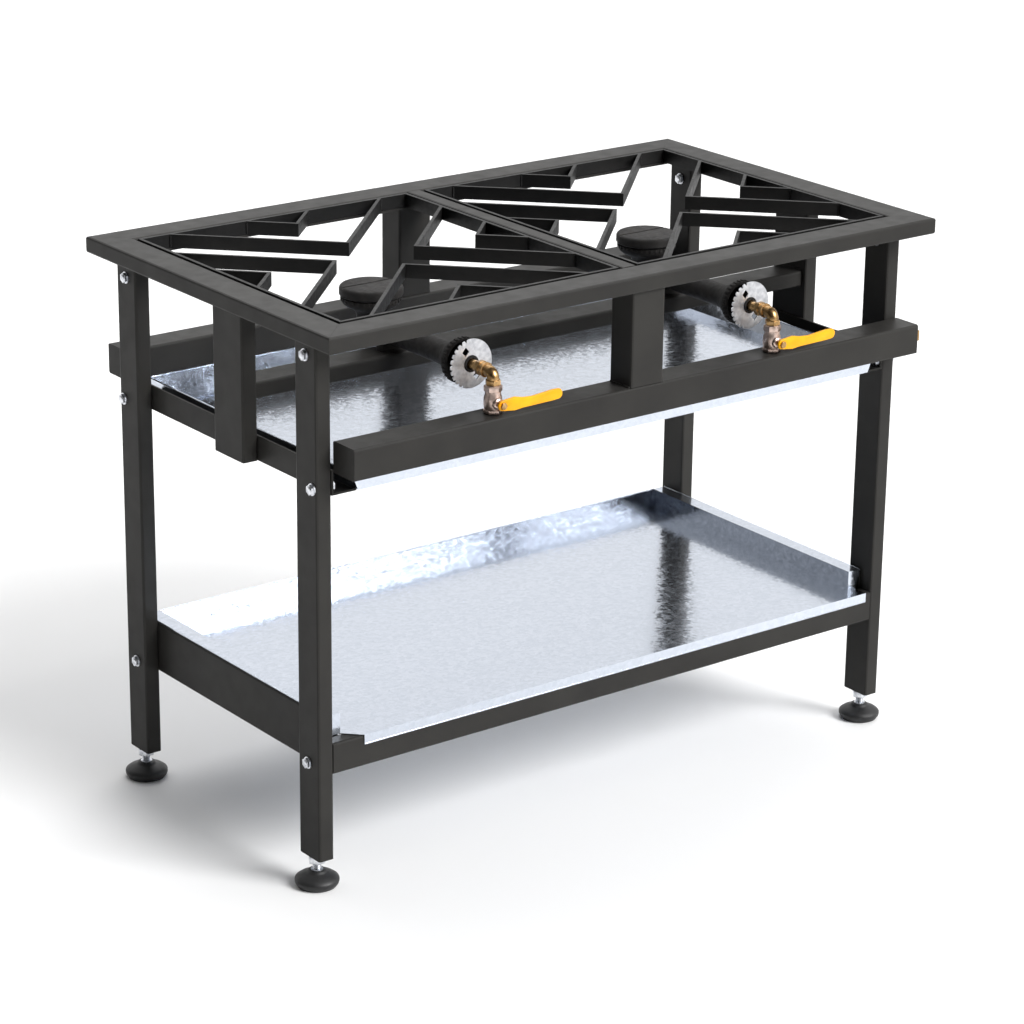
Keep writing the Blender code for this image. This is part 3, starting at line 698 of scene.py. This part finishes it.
def burner_body(side, x, y, gas_z):
    """Cast cup, neck and venturi with a flared mouth, a foot on the bar and a ring of flame ports."""
    low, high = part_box(f"burner_body_{side}")
    top, mouth, wall = high.z, y - low.y, 4 * MM
    cup = [
        (0, gas_z - 19 * MM),
        (13 * MM, gas_z - 18.5 * MM),
        (18 * MM, gas_z - 16 * MM),
        (20.5 * MM, gas_z - 11 * MM),
        (21 * MM, top - 27 * MM),
        (23 * MM, top - 22 * MM),
        (30 * MM, top - 17 * MM),
        (37 * MM, top - 13.5 * MM),
        (41 * MM, top - 10 * MM),
        (BOWL_RADIUS, top - 6 * MM),
        (BOWL_RADIUS, top - 0.8 * MM),
        (42 * MM, top),
        (0, top),
    ]
    flare = [
        (0, -18 * MM),
        (12 * MM, -17.5 * MM),
        (16 * MM, -12 * MM),
        (17 * MM, 0),
        (17 * MM, mouth - 46 * MM),
        (19 * MM, mouth - 34 * MM),
        (24 * MM, mouth - 22 * MM),
        (30 * MM, mouth - 12 * MM),
        (31.4 * MM, mouth - 8 * MM),
        (31.4 * MM, mouth - 1 * MM),
        (30.6 * MM, mouth),
        (0, mouth),
    ]
    bore = [(0, -4 * MM), (13 * MM, -4 * MM)] + [(r - wall, h) for r, h in flare[4:9]]
    bore += [(27.6 * MM, mouth + 8 * MM), (0, mouth + 8 * MM)]
    bar_y = (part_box("burner_bar")[0].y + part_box("burner_bar")[1].y) / 2 - y
    foot_low = low.z + 0.1 * MM
    foot = moved(block((46 * MM, 14 * MM, gas_z - foot_low), 2 * MM), (0, bar_y, (gas_z + foot_low) / 2))
    pad = moved(block((50 * MM, 22 * MM, 6 * MM), 1.5 * MM), (0, bar_y, foot_low + 3 * MM))
    solids = [moved(lathe(flare), (0, 0, gas_z), 90), foot, pad]
    body = carved(lathe(cup, 64), solids, "UNION")
    body = carved(body, [moved(lathe(bore), (0, 0, gas_z), 90)])
    ports = ring_of(block((3 * MM, 3.2 * MM, 5 * MM), 0.5 * MM), IRON, FLAME_PORTS, BOWL_RADIUS - 0.4 * MM)
    knurl = ring_of(block((4 * MM, 3.4 * MM, 7 * MM), 0.6 * MM), IRON, KNURLS, 30.8 * MM)
    knurl = moved(knurl, (0, 4.5 * MM - mouth, gas_z), 90)
    body = joined([body, moved(ports, (0, 0, top - 3 * MM)), knurl])
    finished(f"cast_burner_{side}", moved(body, (x, y, 0)), IRON, "frame", [f"burner_body_{side}"])


def air_shutter(side, x, gas_z):
    """Die-cast disc, notched for a fingernail, with two diamond air holes and a black washer."""
    low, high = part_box(f"air_shutter_{side}")
    depth = high.y - low.y
    radius = (high.x - low.x) / 2
    disc = prism(circle(radius, 90), 0, depth, 0.4 * MM)
    start, end = THROUGH
    cutters = [lathe([(0, start), (10 * MM, start), (10 * MM, end), (0, end)], 32)]
    diamond = [(6 * MM, 0), (0, 7 * MM), (-6 * MM, 0), (0, -7 * MM)]
    for turn in AIR_HOLE_TURNS:
        angle = math.radians(turn)
        spot = (AIR_HOLE_REACH * math.cos(angle), AIR_HOLE_REACH * math.sin(angle), 0)
        cutters.append(moved(prism(diamond, start, end), spot))
    notches = []
    for number in range(NOTCHES):
        notch = prism([(0, 0), (7 * MM, -3.6 * MM), (7 * MM, 3.6 * MM)], start, end)
        turn = FIRST_NOTCH_TURN + NOTCH_STEP * number
        notches.append(moved(moved(notch, (radius - NOTCH_DEPTH, 0, 0)), turn=turn, axis="Z"))
    cutters.append(joined(notches))
    disc = carved(disc, cutters)
    whole = moved(disc, (x, high.y, gas_z), 90)
    name = f"air_shutter_{side}"
    finished(f"toothed_shutter_{side}", whole, DIE_CAST, name, [name])
    rim = [(8.4, 0), (11.6, 0), (12, 0.4), (12, 1.2), (11.4, 1.8), (8.4, 1.8)]
    section = [(reach * MM, height * MM) for reach, height in rim]
    washer = moved(tube_ring(section), (x, low.y + 0.2 * MM, gas_z), 90)
    finished(f"friction_washer_{side}", washer, IRON, name)


def elbow(side, x, valve_y, gas_z):
    """Brass elbow: a nut on the valve, a tight bend, a collar, and the injector into the bell mouth."""
    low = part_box(f"injector_elbow_{side}")[0]
    bend = 9 * MM
    path = [(0, valve_y, low.z)]
    for step in range(9):
        turn = math.radians(90 * step / 8)
        path.append((0, valve_y + bend * (1 - math.cos(turn)), gas_z - bend + bend * math.sin(turn)))
    path.append((0, ELBOW_END_Y, gas_z))
    parts = [sweep(path, 8.6 * MM)]
    parts.append(moved(prism(hexagon(19.5 * MM), 0, 7 * MM, 0.6 * MM), (0, valve_y, low.z)))
    collar = [(8 * MM, 0), (10.6 * MM, 0.8 * MM), (10.6 * MM, 4.2 * MM), (8 * MM, 5 * MM)]
    parts.append(moved(lathe(collar), (0, COLLAR_Y, gas_z), -90))
    parts.append(moved(prism(hexagon(18.5 * MM), 0, 9 * MM, 0.6 * MM), (0, NUT_Y, gas_z), -90))
    jet = [(7.4 * MM, 0), (7.4 * MM, 38 * MM), (5.5 * MM, 41 * MM), (3 * MM, 49 * MM), (1 * MM, 49 * MM)]
    parts.append(moved(lathe(jet), (0, JET_Y, gas_z), -90))
    whole = moved(joined(parts), (x, 0, 0))
    finished(f"brass_elbow_{side}", whole, BRASS, "frame", [f"injector_elbow_{side}"])


def valve(side, x, y, z):
    """Nickelled ball valve: hexagon ends, a round waist and the gland towards the lever."""
    low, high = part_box(f"valve_body_{side}")
    rail_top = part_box("manifold_rail")[1].z
    barrel = [
        (10 * MM, low.z),
        (10 * MM, rail_top + 1 * MM),
        (11.4 * MM, rail_top + 2 * MM),
        (11.4 * MM, z - 10.5 * MM),
        (12.4 * MM, z - 8 * MM),
        (12.9 * MM, z - 3 * MM),
        (12.9 * MM, z + 3 * MM),
        (12.4 * MM, z + 8 * MM),
        (11.2 * MM, z + 11 * MM),
        (11.2 * MM, high.z - 1 * MM),
        (10 * MM, high.z),
    ]
    parts = [lathe(barrel)]
    ends = (
        (23.5 * MM, rail_top + 0.6 * MM, rail_top + 6.5 * MM),
        (22.5 * MM, high.z - 9 * MM, high.z - 0.6 * MM),
    )
    for across, start, end in ends:
        parts.append(moved(prism(hexagon(across), start, end, 0.8 * MM), turn=30, axis="Z"))
    gland = [(8.6 * MM, 0), (8.6 * MM, 12.5 * MM), (7.6 * MM, 14 * MM), (5 * MM, 15.3 * MM)]
    parts.append(moved(lathe(gland, 32), (0, 0, z), 90))
    whole = moved(joined(parts), (x, y, 0))
    finished(f"ball_valve_{side}", whole, NICKEL, "frame", [f"valve_body_{side}"])


def lever(side, x, y, z):
    """Dipped lever, deepest at its hub and slightly cranked, with its nut and spindle."""
    body = f"valve_handle_{side}"
    low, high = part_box(f"valve_lever_{side}")
    reach = high.x - x
    hub, tip = (high.z - low.z) / 2, 7.6 * MM
    outline = []
    for k in range(17):
        turn = math.radians(90 + 180 * k / 16)
        outline.append((hub * math.cos(turn), hub * math.sin(turn)))
    lower = ((20, -10.2), (34, -8.8), (50, -8.6), (68, -8.2), (84, -8.0))
    outline += [(u * MM, v * MM) for u, v in lower]
    for k in range(13):
        turn = math.radians(-90 + 180 * k / 12)
        outline.append((reach - tip + tip * math.cos(turn), 0.2 * MM + tip * math.sin(turn)))
    outline += [(u * MM, v * MM) for u, v in ((84, 8.0), (68, 6.6), (50, 5.0), (34, 6.2), (20, 9.4))]
    grip = prism(outline, -2.2 * MM, 2.2 * MM, 1.5 * MM)
    whole = moved(grip, (x, (low.y + high.y) / 2, z), 90)
    finished(f"yellow_lever_{side}", whole, VINYL, body, [f"valve_lever_{side}"], sharp=50)
    stem_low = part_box(f"valve_stem_{side}")[0]
    nut = moved(prism(hexagon(9 * MM), 0, 3.4 * MM, 0.5 * MM), (x, low.y + 0.2 * MM, z), 90)
    spindle = [(3.2 * MM, 0), (3.2 * MM, y - stem_low.y - 0.6 * MM), (2.4 * MM, y - stem_low.y)]
    stem = moved(lathe(spindle, 24), (x, y, z), 90)
    finished(f"lever_nut_{side}", joined([nut, stem]), BRASS, body, [f"valve_stem_{side}"])


def foot(corner):
    """Nylon pad with a stepped dome, and a threaded stem with its lock nut under the leg."""
    body = f"foot_{corner}"
    low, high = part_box(f"foot_pad_{corner}")
    middle = (low + high) / 2
    radius, top = (high.x - low.x) / 2 + 0.2 * MM, high.z
    pad = [
        (0, 0),
        (radius - 5.5 * MM, 0),
        (radius - 3.6 * MM, 0.8 * MM),
        (radius - 0.8 * MM, 5 * MM),
        (radius, 7.6 * MM),
        (radius, 10.4 * MM),
        (radius - 0.8 * MM, 12.2 * MM),
        (radius - 5 * MM, 15.4 * MM),
        (radius - 11 * MM, 18.4 * MM),
        (radius - 15.5 * MM, 20.2 * MM),
        (14 * MM, 21.2 * MM),
        (12.6 * MM, top - 0.8 * MM),
        (11.6 * MM, top),
        (0, top),
    ]
    made = moved(lathe(pad, 64), (middle.x, middle.y, 0))
    finished(f"levelling_pad_{corner}", made, NYLON, body, [f"foot_pad_{corner}"], sharp=40)
    leg_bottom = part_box(f"leg_{corner}")[0].z
    nut_top = leg_bottom - 0.6 * MM
    thread = [(0, top - 2 * MM), (THREAD_RADIUS, top - 2 * MM)]
    level = top - 1 * MM
    while level < leg_bottom + 26 * MM:
        thread += [(THREAD_RADIUS, level), (THREAD_ROOT, level + THREAD_PITCH / 2)]
        level += THREAD_PITCH
    thread.append((0, level))
    rod = lathe(thread, 24)
    nut = prism(hexagon(22 * MM), nut_top - 10 * MM, nut_top, 0.9 * MM)
    ledge = 8.5 * MM
    step = [(0, top - 0.5 * MM), (ledge, top - 0.5 * MM), (ledge, top + 1.6 * MM), (0, top + 2 * MM)]
    collar = lathe(step, 32)
    stem = moved(joined([rod, nut, collar]), (middle.x, middle.y, 0))
    finished(f"threaded_stem_{corner}", stem, ZINC, body, [f"foot_stem_{corner}"])


def gas_socket():
    """Half-inch socket brazed to the manifold's end, chamfered and open."""
    low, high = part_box("gas_inlet_socket")
    middle = (low + high) / 2
    length = high.x - low.x
    outer = prism(hexagon(25 * MM), 0, length, 1.0 * MM)
    bore = lathe([(8 * MM, -5 * MM), (8 * MM, length - 2 * MM), (10 * MM, length + 2 * MM)], 40)
    socket = moved(carved(outer, [bore]), (low.x, middle.y, middle.z), 90, "Y")
    finished("brass_socket", socket, BRASS, "frame", ["gas_inlet_socket"])


def dress():
    finish_cad_nodes()
    bolts()
    welds()
    grate_welds()
    tray_hems()
    gas_socket()
    for side in SIDES:
        cap_low, cap_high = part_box(f"burner_cap_{side}")
        x, y = (cap_low.x + cap_high.x) / 2, (cap_low.y + cap_high.y) / 2
        disc_low, disc_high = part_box(f"air_shutter_{side}")
        gas_z = (disc_low.z + disc_high.z) / 2
        lever_low, lever_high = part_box(f"valve_lever_{side}")
        lever_z = (lever_low.z + lever_high.z) / 2
        valve_low, valve_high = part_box(f"valve_body_{side}")
        valve_y = valve_high.y - (valve_high.x - valve_low.x) / 2
        burner_cap(side, x, y)
        burner_body(side, x, y, gas_z)
        air_shutter(side, x, gas_z)
        elbow(side, x, valve_y, gas_z)
        valve(side, x, valve_y, lever_z)
        lever(side, x, valve_y, lever_z)
    for corner in ("front_left", "front_right", "back_left", "back_right"):
        foot(corner)


def floor():
    """A plain pale floor, wide enough to run out of view."""
    made = bmesh.new()
    bmesh.ops.create_grid(made, x_segments=1, y_segments=1, size=FLOOR_HALF)
    mesh = bpy.data.meshes.new("pale_floor")
    made.to_mesh(mesh)
    made.free()
    paint, _, shader, _ = new_material("pale_floor_paint", "#efefef", 0.85)
    shader.inputs["Specular IOR Level"].default_value = 0.2
    mesh.materials.append(paint)
    plane = bpy.data.objects.new("pale_floor", mesh)
    bpy.context.scene.collection.objects.link(plane)


def lamp(name, place, aim, size, power):
    """A soft rectangular lamp at a place, pointed at a spot."""
    data = bpy.data.lights.new(name, "AREA")
    data.shape = "RECTANGLE"
    data.size, data.size_y = size
    data.energy = power
    light = bpy.data.objects.new(name, data)
    light.location = place
    light.rotation_euler = (Vector(aim) - Vector(place)).to_track_quat("-Z", "Y").to_euler()
    bpy.context.scene.collection.objects.link(light)


def studio():
    """A white surround that dims towards the left, a broad light from the front and one overhead."""
    world = bpy.data.worlds.new("studio")
    bpy.context.scene.world = world
    world.use_nodes = True
    tree = world.node_tree
    place = node(tree, "ShaderNodeTexCoord").outputs["Generated"]
    facing = {0: place, 1: SURROUND_WAY}
    rightness = node(tree, "ShaderNodeVectorMath", {"operation": "DOT_PRODUCT"}, facing).outputs["Value"]
    limits = {"Value": rightness, "From Min": SURROUND_DIM, "From Max": SURROUND_WHITE}
    ramp = node(tree, "ShaderNodeMapRange", {"interpolation_type": "SMOOTHSTEP"}, limits).outputs["Result"]
    tree.links.new(ramp, tree.nodes["Background"].inputs["Strength"])
    tree.nodes["Background"].inputs["Color"].default_value = (1.0, 1.0, 1.0, 1.0)
    data = bpy.data.lights.new("front_key", "SUN")
    data.energy = KEY_STRENGTH
    data.angle = math.radians(KEY_SPREAD)
    key = bpy.data.objects.new("front_key", data)
    key.rotation_euler = Vector(KEY_WAY).to_track_quat("-Z", "Y").to_euler()
    bpy.context.scene.collection.objects.link(key)
    lamp("overhead", OVERHEAD_PLACE, OVERHEAD_AIM, OVERHEAD_SIZE, OVERHEAD_POWER)
    bpy.context.scene.view_settings.view_transform = "Standard"


def camera():
    """A long lens, a little above and to the left of the front, tilted by a trace."""
    azimuth, height, roll = (math.radians(turn) for turn in VIEW_TURNS)
    level = math.cos(height)
    back = Vector((math.sin(azimuth) * level, -math.cos(azimuth) * level, math.sin(height)))
    right = Vector((0, 0, 1)).cross(back).normalized()
    up = back.cross(right)
    turned_right = math.cos(roll) * right + math.sin(roll) * up
    turned_up = math.cos(roll) * up - math.sin(roll) * right
    data = bpy.data.cameras.new("camera")
    data.sensor_width = SENSOR_WIDTH
    data.lens = LENS
    data.clip_end = 100
    eye = bpy.data.objects.new("camera", data)
    rotation = Matrix((turned_right, turned_up, back)).transposed().to_4x4()
    eye.matrix_world = Matrix.Translation(Vector(VIEW_TARGET) + VIEW_DISTANCE * back) @ rotation
    bpy.context.scene.collection.objects.link(eye)
    bpy.context.scene.camera = eye


dress()
floor()
studio()
camera()
